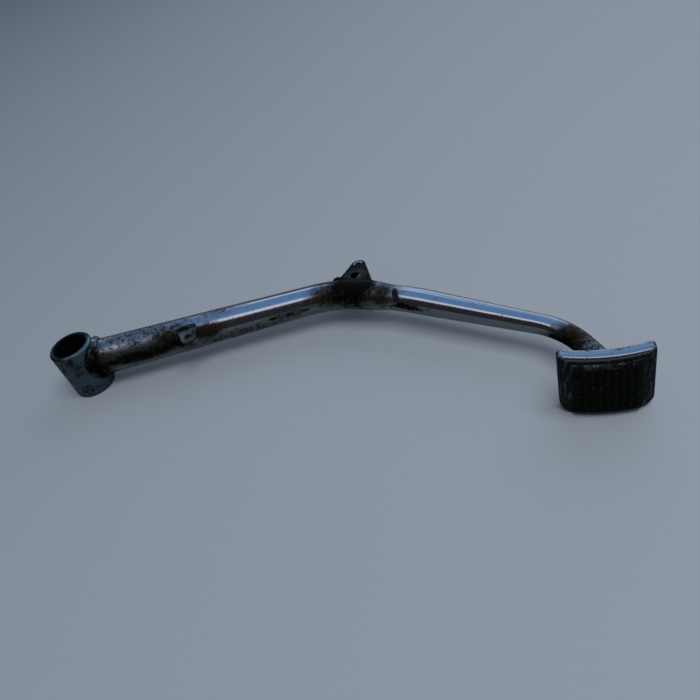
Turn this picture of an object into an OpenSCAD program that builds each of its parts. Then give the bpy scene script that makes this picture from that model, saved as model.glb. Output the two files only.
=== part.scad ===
// Foot brake pedal: a tapered tube arm welded to a pivot sleeve at one end and
// to a pressed steel foot pad at the other, with a spring tab and a rod ear.
// Millimetres. The origin is the centre of the pivot bore, +Z runs along the
// bore, and +X follows the straight first half of the arm.

/* [View] */
// Piece to show, or all of them

/* [Pivot sleeve] */
// Outside diameter of the sleeve
sleeve_d = 28; // [24:0.5:34]
// Length of the sleeve along the bore
sleeve_len = 36; // [28:0.5:44]
// Diameter of the bore
bore_d = 21; // [16:0.1:24]
// Chamfer on the outer edge at both ends
sleeve_chamfer = 1.2; // [0.4:0.1:2]
// Chamfer at both mouths of the bore
mouth_chamfer = 1.4; // [0.4:0.1:2]

/* [Arm tube] */
// Height of the arm's centreline above the middle of the bore
arm_z = 2.2; // [0:0.1:8]
// Outside radius the tube's taper reaches over the bore
root_r = 12.25; // [9:0.05:13]
// Outside radius at the middle bend
bend_r = 9.4; // [7:0.05:11]
// Outside radius half way along the lower limb
limb_r = 7.9; // [6:0.05:10]
// Outside radius at the pad end
tip_r = 5.7; // [4.5:0.05:8]
// Wall thickness of the tube
tube_wall = 1.8; // [1.2:0.1:2.5]
// Length from the bore to the corner of the middle bend
first_limb = 180.5; // [140:0.5:210]
// Turn of the middle bend in degrees
bend_turn = 31.7; // [10:0.1:45]
// Centreline radius of the middle bend
bend_rad = 75; // [30:1:120]
// Turn of the gentle bend in the lower limb in degrees
sweep_turn = 6.3; // [4:0.1:20]
// Centreline radius of the gentle bend
sweep_rad = 200; // [60:1:300]
// Length between the corners of the middle bend and the gentle bend
second_limb = 47; // [30:0.1:60]
// Length between the corners of the gentle bend and the pad bend
third_limb = 96.2; // [70:0.1:130]
// Turn of the bend in front of the pad in degrees
hook_turn = 35.6; // [15:0.1:60]
// Centreline radius of the bend in front of the pad
hook_rad = 46; // [18:0.5:60]

/* [Spring tab] */
// Distance of the tab's round end from the bore along the arm
tab_x = 81; // [50:0.1:120]
// Distance of the tab's round end from the arm's centreline
tab_reach = 15.9; // [12:0.1:20]
// Height of the middle of the tab above the arm's centreline
tab_lift = 8.4; // [4:0.1:10]
// Thickness of the tab
tab_thick = 2.2; // [1.5:0.1:4]
// Radius of the tab's round end
tab_end_r = 5.1; // [4:0.1:8]
// Spread of the tab's root toward the pivot, from its round end
tab_root_back = 12; // [5:0.1:20]
// Spread of the tab's root toward the pad, from its round end
tab_root_fore = 4.5; // [4:0.1:12]
// Diameter of the spring hole
tab_hole_d = 4.4; // [3:0.1:6]

/* [Rod ear] */
// Centre of the hole in the ear
ear_hole = [191.2, 10.4];
// Centre of the ear's round tip
ear_tip = [194.6, 22.9];
// Radius of the ear's round tip
ear_tip_r = 4.9; // [4:0.1:8]
// Spread of the ear's root toward the pivot, from the hole
ear_root_back = 17; // [9:0.1:24]
// Spread of the ear's root toward the pad, from the hole
ear_root_fore = 10.8; // [6:0.1:18]
// Thickness of the ear
ear_thick = 4; // [3:0.1:6]
// Outside diameter of the bush in the ear
ear_bush_d = 11.2; // [9:0.1:15]
// Length of the bush in the ear
ear_bush_len = 5.6; // [4:0.1:14]
// Diameter of the bush's bore
ear_bore_d = 5.6; // [4:0.1:8]

/* [Foot pad] */
// Width of the pad across the foot
pad_w = 44.2; // [34:0.2:60]
// Height of the pad
pad_h = 40; // [30:0.2:55]
// Depth of the pad from its face to the rear edge of its rim
pad_deep = 5.6; // [4:0.1:12]
// Sheet thickness of the pad
pad_wall = 2.2; // [1.5:0.1:3.5]
// Radius of the pad's curved face
pad_face_r = 75.6; // [50:0.2:150]
// Radius where the face turns into the rim
pad_edge_r = 2.6; // [1:0.1:4]
// Radius where the face turns into the two sides
pad_side_r = 4.4; // [1:0.1:6]
// Corner radius at the pad's upper corners, seen from the front
pad_top_corner = 3.2; // [1:0.1:8]
// Corner radius at the pad's lower corners, seen from the front
pad_low_corner = 6.4; // [1:0.1:10]
// Turn of the pad about the bore direction, in degrees
pad_yaw = -12.6; // [-30:0.1:10]
// Roll of the pad about its face, in degrees
pad_roll = -0.5; // [-5:0.1:5]
// Position of the middle of the pad's face
pad_at = [300.7, -129.0, 2.1];

/* [Tread] */
// Teeth across the tread
tread_cols = 9; // [5:1:12]
// Teeth up the tread
tread_rows = 9; // [5:1:12]
// Spacing of the teeth
tooth_pitch = 3.3; // [2.4:0.1:5]
// Height of the raised block under the teeth
block_lift = 1.1; // [0.4:0.1:2]
// Height of a tooth above the block
tooth_h = 1.3; // [0.6:0.1:2]
// Border of the raised block at both sides of the teeth
block_border = 1.3; // [0.5:0.1:4]
// Border of the raised block above the teeth
block_brow = 2.9; // [0.5:0.1:5]
// Border of the raised block below the teeth
block_sill = 0.6; // [0.5:0.1:4]
// Drop of the tread below the middle of the pad
tread_drop = 1.85; // [0:0.05:4]

/* [Hidden] */
$fn = 96;
sleeve_r = sleeve_d / 2;
lap = 0.5;
proud = 0.08;
chrome = [0.62, 0.66, 0.70];
weld_brown = [0.25, 0.20, 0.16];
dark_steel = [0.20, 0.18, 0.16];

// Headings of the arm's straight runs, in degrees.
head_b = -bend_turn;
head_c = head_b - sweep_turn;
head_d = head_c - hook_turn;
function ray(a, d) = [d * cos(a), d * sin(a)];
corner_1 = [first_limb, 0];
corner_2 = corner_1 + ray(head_b, second_limb);
corner_3 = corner_2 + ray(head_c, third_limb);
tangent_1 = bend_rad * tan(bend_turn / 2);
tangent_2 = sweep_rad * tan(sweep_turn / 2);
tangent_3 = hook_rad * tan(hook_turn / 2);
arc_1 = corner_1 - ray(0, tangent_1);
arc_2 = corner_2 - ray(head_b, tangent_2);
arc_3 = corner_3 - ray(head_c, tangent_3);
limb_b = second_limb - tangent_1 - tangent_2;
limb_c = third_limb - tangent_2 - tangent_3;
last_run = 50;

// Point where the arm's centreline meets the back of the pad's face.
pad_axis = [pad_at[0], pad_at[1]] + pad_face_r * [-sin(pad_yaw), cos(pad_yaw)];
hook_end = corner_3 + ray(head_d, tangent_3);
hook_gap = hook_end - pad_axis;
hook_along = hook_gap * ray(head_d, 1);
hook_run = sqrt(pow(pad_face_r - pad_wall, 2) - hook_gap * hook_gap + pow(hook_along, 2)) - hook_along;
pad_meet = hook_end + ray(head_d, hook_run);

// Centre of the middle bend.
bend_mid = arc_1 - [0, bend_rad];

// A straight run of the arm from a point on its centreline: x and y of the
// start, the heading, the length, and the radius at each end.
module run(from, head, len, r1, r2) {
    translate([from[0], from[1], arm_z])
        rotate([0, 0, head])
            rotate([0, 90, 0])
                cylinder(h = len, r1 = r1, r2 = r2);
}

// A bend of the arm that turns clockwise from a point and a heading. It laps
// over the runs before and after it, and stands a hair proud of them.
module bend(from, head, turn, rad, r) {
    over = lap / rad * 180 / PI;
    translate([from[0], from[1], arm_z])
        rotate([0, 0, head])
            translate([0, -rad, 0])
                rotate([0, 0, 90 - turn - over])
                    rotate_extrude(angle = turn + 2 * over, $fn = 240)
                        translate([rad, 0])
                            circle(r = r, $fn = 96);
}

// The whole arm as a solid, thinner by the given amount all round.
module arm_solid(less = 0) {
    s = less + proud;
    run([0, 0], 0, arc_1[0], root_r - s, bend_r - s);
    bend(arc_1, 0, bend_turn, bend_rad, bend_r - less);
    run(corner_1 + ray(head_b, tangent_1), head_b, limb_b, bend_r - s, limb_r - s);
    bend(arc_2, head_b, sweep_turn, sweep_rad, limb_r - less);
    run(corner_2 + ray(head_c, tangent_2), head_c, limb_c, limb_r - s, tip_r - s);
    bend(arc_3, head_c, hook_turn, hook_rad, tip_r - less);
    intersection() {
        run(corner_3 + ray(head_d, tangent_3), head_d, last_run, tip_r - s, tip_r - s);
        in_pad() translate([0, pad_face_r, -60])
            cylinder(h = 120, r = pad_face_r - pad_wall + less, $fn = 180);
    }
}

// Places its children in the pad's own frame: x across the foot, z up the
// pad, y from the face into the pad, and the origin in the middle of the face.
module in_pad() {
    translate(pad_at)
        rotate([0, 0, pad_yaw])
            rotate([0, pad_roll, 0])
                children();
}

// Points of an arc about a centre, from one angle to another.
function arc(c, r, a0, a1, n) = [for (i = [0 : n])
    let (a = a0 + (a1 - a0) * i / n) [c[0] + r * cos(a), c[1] + r * sin(a)]];

// The pad's outline drawn in by a margin, from the face back to a depth.
module pad_body(less, deep) {
    half = pad_h / 2 - less;
    w = pad_w / 2 - less;
    intersection() {
        translate([0, pad_face_r, 0])
            rotate([0, 0, -90 - 24])
                rotate_extrude(angle = 48, $fn = 360)
                    polygon(pad_section(pad_face_r - less, pad_face_r - deep, half, max(pad_edge_r - less, 0.4)));
        linear_extrude(height = pad_h + 2, center = true)
            polygon(pad_plan(less, w, deep));
        rotate([90, 0, 0])
            linear_extrude(height = 60, center = true)
                polygon(pad_front(w, half, max(pad_top_corner - less, 0.6), max(pad_low_corner - less, 0.6)));
    }
}

// Section of the pad up its height, with both edges of the face rounded.
function pad_section(r_out, r_in, half, edge) = concat(
    [[r_in, -half]],
    arc([r_out - edge, -half + edge], edge, -90, 0, 5),
    arc([r_out - edge, half - edge], edge, 0, 90, 5),
    [[r_in, half]]
);

// Plan of the pad from above, with the side edges rounded toward the face.
function pad_plan(less, w, deep) =
    let (
        sag = pad_face_r - sqrt(pow(pad_face_r, 2) - pow(pad_w / 2, 2)),
        side = max(pad_side_r - less, 0.6),
        front = less + sag + side * 0.42
    ) concat(
        [[w, deep + 16], [w, front]],
        arc([w - side, front], side, 0, -75, 6),
        [[w - side, -2], [-w + side, -2]],
        arc([-w + side, front], side, -105, -180, 6),
        [[-w, deep + 16]]
    );

// Front view of the pad, x across and y up, with its rounded corners.
function pad_front(w, half, top, low) = concat(
    arc([w - low, -half + low], low, -90, 0, 6),
    arc([w - top, half - top], top, 0, 90, 5),
    arc([-w + top, half - top], top, 90, 180, 5),
    arc([-w + low, -half + low], low, 180, 270, 6)
);

// A bead of weld along a path of points: a skin of rings whose radius swells
// and shrinks along the way, closed on itself or drawn to blunt ends. The
// path never runs along the upright direction.
module bead(path, r, swell, waves, closed, upright = [0, 0, 1]) {
    n = len(path);
    sides = 12;
    function near(i) = closed ? path[(i + n) % n] : path[max(0, min(n - 1, i))];
    function ahead(i) = near(i + 1) - near(i - 1);
    function unit(v) = v / norm(v);
    function wide(i) = r * (1 + swell * sin(360 * waves * i / n + 40) + 0.5 * swell * sin(360 * 2.3 * waves * i / n));
    function fade(i) = closed ? 1 : sqrt(max(0.08, 1 - pow(2 * i / (n - 1) - 1, 6)));
    function out(i) = unit(cross(ahead(i), upright));
    function rise(i) = unit(cross(out(i), ahead(i)));
    points = [for (i = [0 : n - 1]) for (k = [0 : sides - 1])
        path[i] + wide(i) * fade(i) * (cos(360 * k / sides) * out(i) + sin(360 * k / sides) * rise(i))];
    function at(i, k) = ((i + n) % n) * sides + (k + sides) % sides;
    skin = [for (i = [0 : n - (closed ? 1 : 2)]) for (k = [0 : sides - 1]) for (half = [0, 1])
        half == 0 ? [at(i, k), at(i + 1, k), at(i + 1, k + 1)] : [at(i, k), at(i + 1, k + 1), at(i, k + 1)]];
    ends = closed ? [] : [[for (k = [sides - 1 : -1 : 0]) at(0, k)], [for (k = [0 : sides - 1]) at(n - 1, k)]];
    polyhedron(points = points, faces = concat([for (f = skin) [f[0], f[2], f[1]]], [for (f = ends) [for (k = [len(f) - 1 : -1 : 0]) f[k]]]), convexity = 6);
}

// Turned sleeve that rides on the pivot shaft.
module pivot_sleeve() {
    color(chrome)
        rotate_extrude()
            polygon([
                [bore_d / 2, -sleeve_len / 2 + mouth_chamfer],
                [bore_d / 2 + mouth_chamfer, -sleeve_len / 2],
                [sleeve_r - sleeve_chamfer, -sleeve_len / 2],
                [sleeve_r, -sleeve_len / 2 + sleeve_chamfer],
                [sleeve_r, sleeve_len / 2 - sleeve_chamfer],
                [sleeve_r - sleeve_chamfer, sleeve_len / 2],
                [bore_d / 2 + mouth_chamfer, sleeve_len / 2],
                [bore_d / 2, sleeve_len / 2 - mouth_chamfer]
            ]);
}

// Bent and tapered tube, coped to the sleeve and trimmed to the pad's back.
module arm_tube() {
    color(chrome)
        difference() {
            arm_solid();
            cylinder(h = 60, r = sleeve_r, center = true);
            arm_solid(tube_wall);
        }
}

// Fillet weld round the root of the arm, on the saddle line of the sleeve.
module sleeve_weld() {
    turns = 44;
    path = [for (i = [0 : turns - 1])
        let (a = 360 * i / turns, y = (root_r + 0.2) * sin(a), z = (root_r + 0.2) * cos(a))
        [sqrt(pow(sleeve_r + 1.4, 2) - pow(y, 2)), y, arm_z + z]];
    color(weld_brown)
        difference() {
            bead(path, 3.6, 0.12, 5, true, [1, 0, 0]);
            cylinder(h = 60, r = sleeve_r, center = true);
            run([0, 0], 0, arc_1[0], root_r - proud, bend_r - proud);
        }
}

// Flanks of the spring tab, from its round end to its root inside the arm.
function tab_root() = [
    [-tab_end_r * 0.88, -tab_reach - tab_end_r * 0.46],
    [0, -tab_reach - tab_end_r * 0.9],
    [tab_end_r, -tab_reach],
    [tab_root_fore, 0],
    [-tab_root_back, 0]
];

// Small eye for the return spring, on the upper side of the arm.
module spring_tab() {
    color(chrome)
        difference() {
            translate([tab_x, 0, arm_z + tab_lift - tab_thick / 2])
                linear_extrude(height = tab_thick)
                    difference() {
                        union() {
                            translate([0, -tab_reach]) circle(r = tab_end_r);
                            polygon(tab_root());
                        }
                        translate([0, -tab_reach]) circle(d = tab_hole_d);
                    }
            run([0, 0], 0, arc_1[0], root_r - proud, bend_r - proud);
        }
}

// Bead along the root of the spring tab, over its upper face.
module tab_weld() {
    count = 16;
    top = tab_lift + tab_thick / 2;
    y_root = -sqrt(pow(root_r - 1.0, 2) - pow(top, 2));
    span = tab_root_back * 0.62 + tab_root_fore;
    path = [for (i = [0 : count - 1])
        let (t = i / (count - 1))
        [tab_x - tab_root_back * 0.62 + span * t, y_root + 0.5 * pow(2 * t - 1, 2), arm_z + top - 0.1 - 0.4 * pow(2 * t - 1, 2)]];
    color(weld_brown)
        difference() {
            bead(path, 1.5, 0.12, 3, false);
            run([0, 0], 0, arc_1[0], root_r - proud, bend_r - proud);
            translate([tab_x, 0, arm_z + tab_lift - tab_thick / 2])
                linear_extrude(height = tab_thick)
                    polygon(tab_root());
        }
}

// Outline of the ear: a round tip with straight flanks that touch it.
module ear_outline() {
    back = ear_hole + [-ear_root_back, -6];
    fore = ear_hole + [ear_root_fore, -14];
    translate(ear_tip) circle(r = ear_tip_r);
    polygon([back, fore, touch_point(fore, 1), ear_tip, touch_point(back, -1)]);
}

// Point where the line from a root corner touches the ear's round tip.
function touch_point(from, side) =
    let (
        gap = from - ear_tip,
        a = atan2(gap[1], gap[0]) + side * acos(ear_tip_r / norm(gap))
    ) ear_tip + 0.997 * [ear_tip_r * cos(a), ear_tip_r * sin(a)];

// Plate ear on the outside of the middle bend, for the brake rod.
module rod_ear() {
    color(dark_steel)
        difference() {
            translate([0, 0, arm_z - ear_thick / 2])
                linear_extrude(height = ear_thick)
                    ear_outline();
            translate([ear_hole[0], ear_hole[1], arm_z]) cylinder(h = 30, d = ear_bush_d, center = true);
            bend(arc_1, 0, bend_turn + 8, bend_rad, bend_r);
        }
}

// The part of the arm that the ear's welds stand on.
module middle_of_arm() {
    run([0, 0], 0, arc_1[0], root_r - proud, bend_r - proud);
    bend(arc_1, 0, bend_turn, bend_rad, bend_r);
    run(corner_1 + ray(head_b, tangent_1), head_b, limb_b, bend_r - proud, limb_r - proud);
}

// Bush in the ear that takes the rod's pin.
module ear_bush() {
    color(dark_steel)
        translate([ear_hole[0], ear_hole[1], arm_z])
            rotate_extrude($fn = 64)
                polygon([
                    [ear_bore_d / 2, -ear_bush_len / 2 + 0.6],
                    [ear_bore_d / 2 + 0.6, -ear_bush_len / 2],
                    [ear_bush_d / 2 - 0.8, -ear_bush_len / 2],
                    [ear_bush_d / 2, -ear_bush_len / 2 + 0.8],
                    [ear_bush_d / 2, ear_bush_len / 2 - 0.8],
                    [ear_bush_d / 2 - 0.8, ear_bush_len / 2],
                    [ear_bore_d / 2 + 0.6, ear_bush_len / 2],
                    [ear_bore_d / 2, ear_bush_len / 2 - 0.6]
                ]);
}

// Bead between the ear and the tube, on one side of the plate (1 up, -1 down).
module ear_weld(side) {
    count = 26;
    path = [for (i = [0 : count - 1])
        let (
            t = i / (count - 1),
            a = 12 + 20.5 * t,
            lean = 17.5 + 22 * exp(-pow((t - 0.14) / 0.13, 2)) - 12 * pow(t, 3),
            seam_r = bend_rad + (bend_r + 0.4) * cos(lean)
        ) [bend_mid[0] + seam_r * sin(a), bend_mid[1] + seam_r * cos(a), arm_z + side * (bend_r + 0.4) * sin(lean)]];
    color(weld_brown)
        difference() {
            bead(path, 2.1, 0.13, 5, false);
            middle_of_arm();
            translate([0, 0, arm_z - ear_thick / 2]) linear_extrude(height = ear_thick) ear_outline();
            translate([ear_hole[0], ear_hole[1], arm_z]) cylinder(h = 30, d = ear_bush_d, center = true);
            translate([150, -40, side > 0 ? arm_z - 20 : arm_z]) cube([80, 80, 20]);
        }
}

module ear_weld_upper() {
    ear_weld(1);
}

module ear_weld_lower() {
    ear_weld(-1);
}

// Sharp ridges up the tread, as a section at a distance from the face's axis.
module tread_section() {
    half = tread_rows * tooth_pitch / 2;
    base = pad_face_r + block_lift;
    low = half + block_sill;
    high = half + block_brow;
    polygon(concat(
        [[pad_face_r - 1, -low], [pad_face_r - 0.2, -low - 0.4], [base - 0.4, -low], [base, -low + 0.5], [base, -half]],
        [for (i = [0 : tread_rows - 1]) each [
            [base, -half + i * tooth_pitch + 0.25],
            [base + tooth_h, -half + (i + 0.5) * tooth_pitch - 0.35],
            [base + tooth_h, -half + (i + 0.5) * tooth_pitch + 0.35],
            [base, -half + (i + 1) * tooth_pitch - 0.25]
        ]],
        [[base, half], [base, high - 0.9], [base - 0.5, high - 0.2], [pad_face_r - 0.2, high + 0.5], [pad_face_r - 1, high + 0.5]]
    ));
}

// Raised block with its rows and columns of teeth.
module tread() {
    half_w = tread_cols * tooth_pitch / 2;
    side = (half_w + block_border) / (pad_face_r + block_lift) * 180 / PI;
    pitch_a = tooth_pitch / pad_face_r * 180 / PI;
    base = pad_face_r + block_lift;
    translate([0, pad_face_r, -tread_drop])
        difference() {
            rotate([0, 0, -90 - side])
                rotate_extrude(angle = 2 * side, $fn = 360)
                    tread_section();
            for (i = [0 : tread_cols])
                rotate([0, 0, -90 + (i - tread_cols / 2) * pitch_a])
                    linear_extrude(height = pad_h, center = true)
                        polygon(i == 0
                            ? [[base, 0.3], [base + 3, 1.3 + tooth_pitch / 4], [base + 3, -6], [base, -6]]
                            : i == tread_cols
                            ? [[base, -0.3], [base + 3, -1.3 - tooth_pitch / 4], [base + 3, 6], [base, 6]]
                            : [[base, -0.25], [base, 0.25], [base + 2.6, 0.25 + 2.6], [base + 2.6, -0.25 - 2.6]]);
        }
}

// Pressed foot pad: a curved face with its rim turned back, and the tread.
module foot_pad() {
    color(chrome)
        in_pad() {
            difference() {
                pad_body(0, pad_deep);
                pad_body(pad_wall, pad_deep + 20);
            }
            tread();
        }
}

// Bead round the end of the arm on the back of the pad.
module pad_weld() {
    turns = 30;
    across = [cos(pad_yaw), sin(pad_yaw), 0];
    back = [-sin(pad_yaw), cos(pad_yaw), 0];
    ring_r = tip_r + 0.5;
    path = [for (i = [0 : turns - 1])
        let (
            a = 360 * i / turns,
            skew = tan(head_d + 90 - pad_yaw),
            lift = 0.9,
            side = ring_r * cos(a) / cos(head_d + 90 - pad_yaw) - lift * skew
        ) concat(pad_meet, [arm_z]) + side * across + ring_r * sin(a) * [0, 0, 1]
            + (lift + side * side / (2 * pad_face_r)) * back];
    color(weld_brown)
        difference() {
            bead(path, 2.3, 0.14, 4, true, back);
            run(corner_3 + ray(head_d, tangent_3), head_d, last_run, tip_r - proud, tip_r - proud);
            in_pad() translate([0, pad_face_r, -60]) difference() {
                cylinder(h = 120, r = pad_face_r + 20, $fn = 180);
                translate([0, 0, -1]) cylinder(h = 122, r = pad_face_r - pad_wall, $fn = 180);
            }
        }
}

pivot_sleeve();
arm_tube();
sleeve_weld();
spring_tab();
tab_weld();
rod_ear();
ear_bush();
ear_weld_upper();
ear_weld_lower();
foot_pad();
pad_weld();
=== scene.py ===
"""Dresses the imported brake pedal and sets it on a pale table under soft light.

Lengths in the classes below are millimetres in the part's own frame: the
origin is the centre of the pivot bore, +Z runs along the bore and +X follows
the straight first half of the lever. Meshes are stored in metres.
"""

from __future__ import annotations

import logging
import math
from dataclasses import dataclass, field
from enum import Enum
from typing import Any, Callable, Mapping, Sequence

import bmesh
import bpy
import numpy as np
from mathutils import Matrix, Vector

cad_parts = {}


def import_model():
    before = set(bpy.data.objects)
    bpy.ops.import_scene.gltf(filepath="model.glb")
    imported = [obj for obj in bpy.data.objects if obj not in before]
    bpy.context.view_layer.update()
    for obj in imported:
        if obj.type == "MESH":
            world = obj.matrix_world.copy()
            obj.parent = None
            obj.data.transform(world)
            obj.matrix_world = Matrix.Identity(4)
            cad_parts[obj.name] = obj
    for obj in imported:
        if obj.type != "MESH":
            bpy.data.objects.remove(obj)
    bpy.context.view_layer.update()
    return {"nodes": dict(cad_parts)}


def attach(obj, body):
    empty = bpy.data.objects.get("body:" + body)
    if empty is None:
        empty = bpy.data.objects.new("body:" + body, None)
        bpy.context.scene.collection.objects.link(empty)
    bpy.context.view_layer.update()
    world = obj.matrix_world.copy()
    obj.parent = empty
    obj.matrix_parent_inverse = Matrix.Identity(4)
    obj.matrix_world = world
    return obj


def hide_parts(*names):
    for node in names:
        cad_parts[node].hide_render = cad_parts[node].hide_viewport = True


LOG = logging.getLogger("brake_pedal")
MM = 0.001
#: Degrees between faces from which an edge is sharp.
SHARP = 50.0
Array = np.ndarray
Pair = tuple[float, float]
Triple = tuple[float, float, float]
Material = bpy.types.Material
Socket = bpy.types.NodeSocket


# Shader arithmetic


def operator(operation: str, reflected: bool = False) -> Callable[[Value, Operand], Value]:
    """Makes an arithmetic method that adds one Math node.

    Args:
        operation: What the Math node does.
        reflected: True if the other operand comes first.

    Returns:
        The method.
    """

    def method(self: Value, other: Operand) -> Value:
        """The Math node's result for both operands."""
        a, b = (other, self) if reflected else (self, other)
        return self.graph.math(operation, a, b)

    return method


@dataclass(frozen=True)
class Value:
    """A shader socket that adds Math nodes when it is used in arithmetic.

    Attributes:
        graph: Graph that takes the nodes.
        socket: The socket.
    """

    graph: Graph
    socket: Socket

    __add__ = operator("ADD")
    __radd__ = operator("ADD", reflected=True)
    __sub__ = operator("SUBTRACT")
    __rsub__ = operator("SUBTRACT", reflected=True)
    __mul__ = operator("MULTIPLY")
    __rmul__ = operator("MULTIPLY", reflected=True)
    __truediv__ = operator("DIVIDE")
    __pow__ = operator("POWER")
    larger = operator("MAXIMUM")

    def clamp(self) -> Value:
        """Limits the value to between 0 and 1."""
        return self.graph.math("ADD", self, 0.0, clamp=True)

    def step(self, low: float, high: float) -> Value:
        """A smooth rise from 0 at one value to 1 at another.

        Args:
            low: Value at which the rise starts.
            high: Value at which it ends.

        Returns:
            The smoothed value.
        """
        t = self.graph.math("MULTIPLY", self - low, 1.0 / (high - low), clamp=True)
        return t * t * (3.0 - 2.0 * t)


Operand = Value | float


class Graph:
    """Adds nodes to one node tree."""

    def __init__(self, tree: bpy.types.NodeTree) -> None:
        """Empties the tree and keeps it."""
        self.tree = tree
        tree.nodes.clear()

    def node(
        self,
        kind: str,
        settings: Mapping[str, Any] | None = None,
        inputs: Mapping[str | int, Any] | None = None,
    ) -> bpy.types.Node:
        """Adds a node, sets it up and then fills its sockets.

        Args:
            kind: Blender's type name of the node.
            settings: Node properties.
            inputs: Values, colours or links by socket name or place.

        Returns:
            The new node.
        """
        made = self.tree.nodes.new(kind)
        for key, value in (settings or {}).items():
            setattr(made, key, value)
        for key, value in (inputs or {}).items():
            if isinstance(value, Value):
                value = value.socket
            if isinstance(value, Socket):
                self.tree.links.new(value, made.inputs[key])
            else:
                made.inputs[key].default_value = value
        return made

    def math(self, operation: str, a: Operand, b: Operand, clamp: bool = False) -> Value:
        """Adds a Math node on two operands."""
        settings = {"operation": operation, "use_clamp": clamp}
        return Value(self, self.node("ShaderNodeMath", settings, {0: a, 1: b}).outputs[0])

    def vector(self, operation: str, inputs: Mapping[str | int, Any]) -> bpy.types.Node:
        """Adds a Vector Math node."""
        return self.node("ShaderNodeVectorMath", {"operation": operation}, inputs)

    def place(self) -> Socket:
        """Object coordinates in millimetres."""
        coords = self.node("ShaderNodeTexCoord").outputs["Object"]
        return self.vector("SCALE", {0: coords, "Scale": 1.0 / MM}).outputs[0]

    def parts(self, vector: Socket) -> tuple[Value, ...]:
        """The three numbers of a vector."""
        split = self.node("ShaderNodeSeparateXYZ", inputs={0: vector})
        return tuple(Value(self, out) for out in split.outputs)

    def noise(
        self,
        vector: Socket,
        size: float,
        detail: float,
        rough: float,
        shift: Triple = (0.0, 0.0, 0.0),
    ) -> Value:
        """Smooth noise whose features are about a size in millimetres.

        Args:
            vector: Coordinates in millimetres.
            size: Size of a feature in millimetres.
            detail: Octaves of finer noise.
            rough: How strong the finer octaves are.
            shift: Offset that makes two noises differ.

        Returns:
            The noise, around one half.
        """
        moved = self.node("ShaderNodeMapping", inputs={"Vector": vector, "Location": shift}).outputs[0]
        inputs = {"Vector": moved, "Scale": 1.0 / size, "Detail": detail, "Roughness": rough}
        return Value(self, self.node("ShaderNodeTexNoise", inputs=inputs).outputs["Fac"])

    def mix(self, share: Operand, a: Any, b: Any) -> Socket:
        """Blends two colours.

        Args:
            share: How much of the second colour there is, 0 to 1.
            a: First colour, or its socket.
            b: Second colour, or its socket.

        Returns:
            The blended colour's socket.
        """
        a, b = (c if isinstance(c, Socket) else (*c, 1.0) for c in (a, b))
        return self.node("ShaderNodeMix", {"data_type": "RGBA"}, {0: share, 6: a, 7: b}).outputs[2]

    def attribute(self, name: str) -> Value:
        """A number stored on the piece's points."""
        return Value(self, self.node("ShaderNodeAttribute", {"attribute_name": name}).outputs["Fac"])

    def bump(self, height: Value, strength: float, depth: float) -> Socket:
        """A normal from a height.

        Args:
            height: Height, about 0 to 1.
            strength: How much of the effect is used.
            depth: Depth of a full step, in millimetres.

        Returns:
            The normal's socket.
        """
        inputs = {"Strength": strength, "Distance": depth * MM, "Height": height}
        return self.node("ShaderNodeBump", inputs=inputs).outputs[0]


# Finishes


class Stain(Enum):
    """What a patch on the plating is made of."""

    RUST = "rust"
    # baked dirt; on the lever's front it also paints shade
    SOOT_AND_SHADE = "soot"
    PITS = "pits"


@dataclass(frozen=True)
class Patch:
    """A stained place on a piece, as a ragged ellipsoid.

    Attributes:
        stain: What the place is stained with.
        centre: Middle of the place.
        reach: Half its size along each axis.
        strength: How fully it covers the plating in its middle.
        ragged: How far its edge wanders.
    """

    stain: Stain
    centre: Triple
    reach: Triple
    strength: float = 1.0
    ragged: float = 1.1

    def mask(self, graph: Graph, place: Socket, edge: Value) -> Value:
        """How much of the patch there is at a point.

        Args:
            graph: Graph that takes the nodes.
            place: Coordinates in millimetres.
            edge: Noise that makes the border ragged.

        Returns:
            The mask: 1 inside the ellipsoid and 0 outside, moved by the noise.
        """
        away = graph.vector("SUBTRACT", {0: place, 1: self.centre}).outputs[0]
        scaled = graph.vector("DIVIDE", {0: away, 1: self.reach}).outputs[0]
        far = Value(graph, graph.vector("LENGTH", {0: scaled}).outputs[1])
        inside = 1.0 - far + self.ragged * (edge - 0.5)
        return inside.step(-0.15, 0.75) * self.strength


@dataclass(frozen=True)
class Finish:
    """A look that becomes one material.

    Attributes:
        name: Name of the material.
    """

    name: str

    def surface(self, graph: Graph) -> dict[str, Any]:
        """Works out what the shader's sockets get.

        Args:
            graph: Graph that takes the nodes.

        Returns:
            Values, colours or links by socket name.
        """
        raise NotImplementedError

    def build(self) -> Material:
        """Makes the material from one shader.

        Returns:
            The finished material.
        """
        material = bpy.data.materials.new(self.name)
        material.use_nodes = True
        graph = Graph(material.node_tree)
        shader = graph.node("ShaderNodeBsdfPrincipled", inputs=self.surface(graph))
        graph.node("ShaderNodeOutputMaterial", inputs={"Surface": shader.outputs[0]})
        return material


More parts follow.
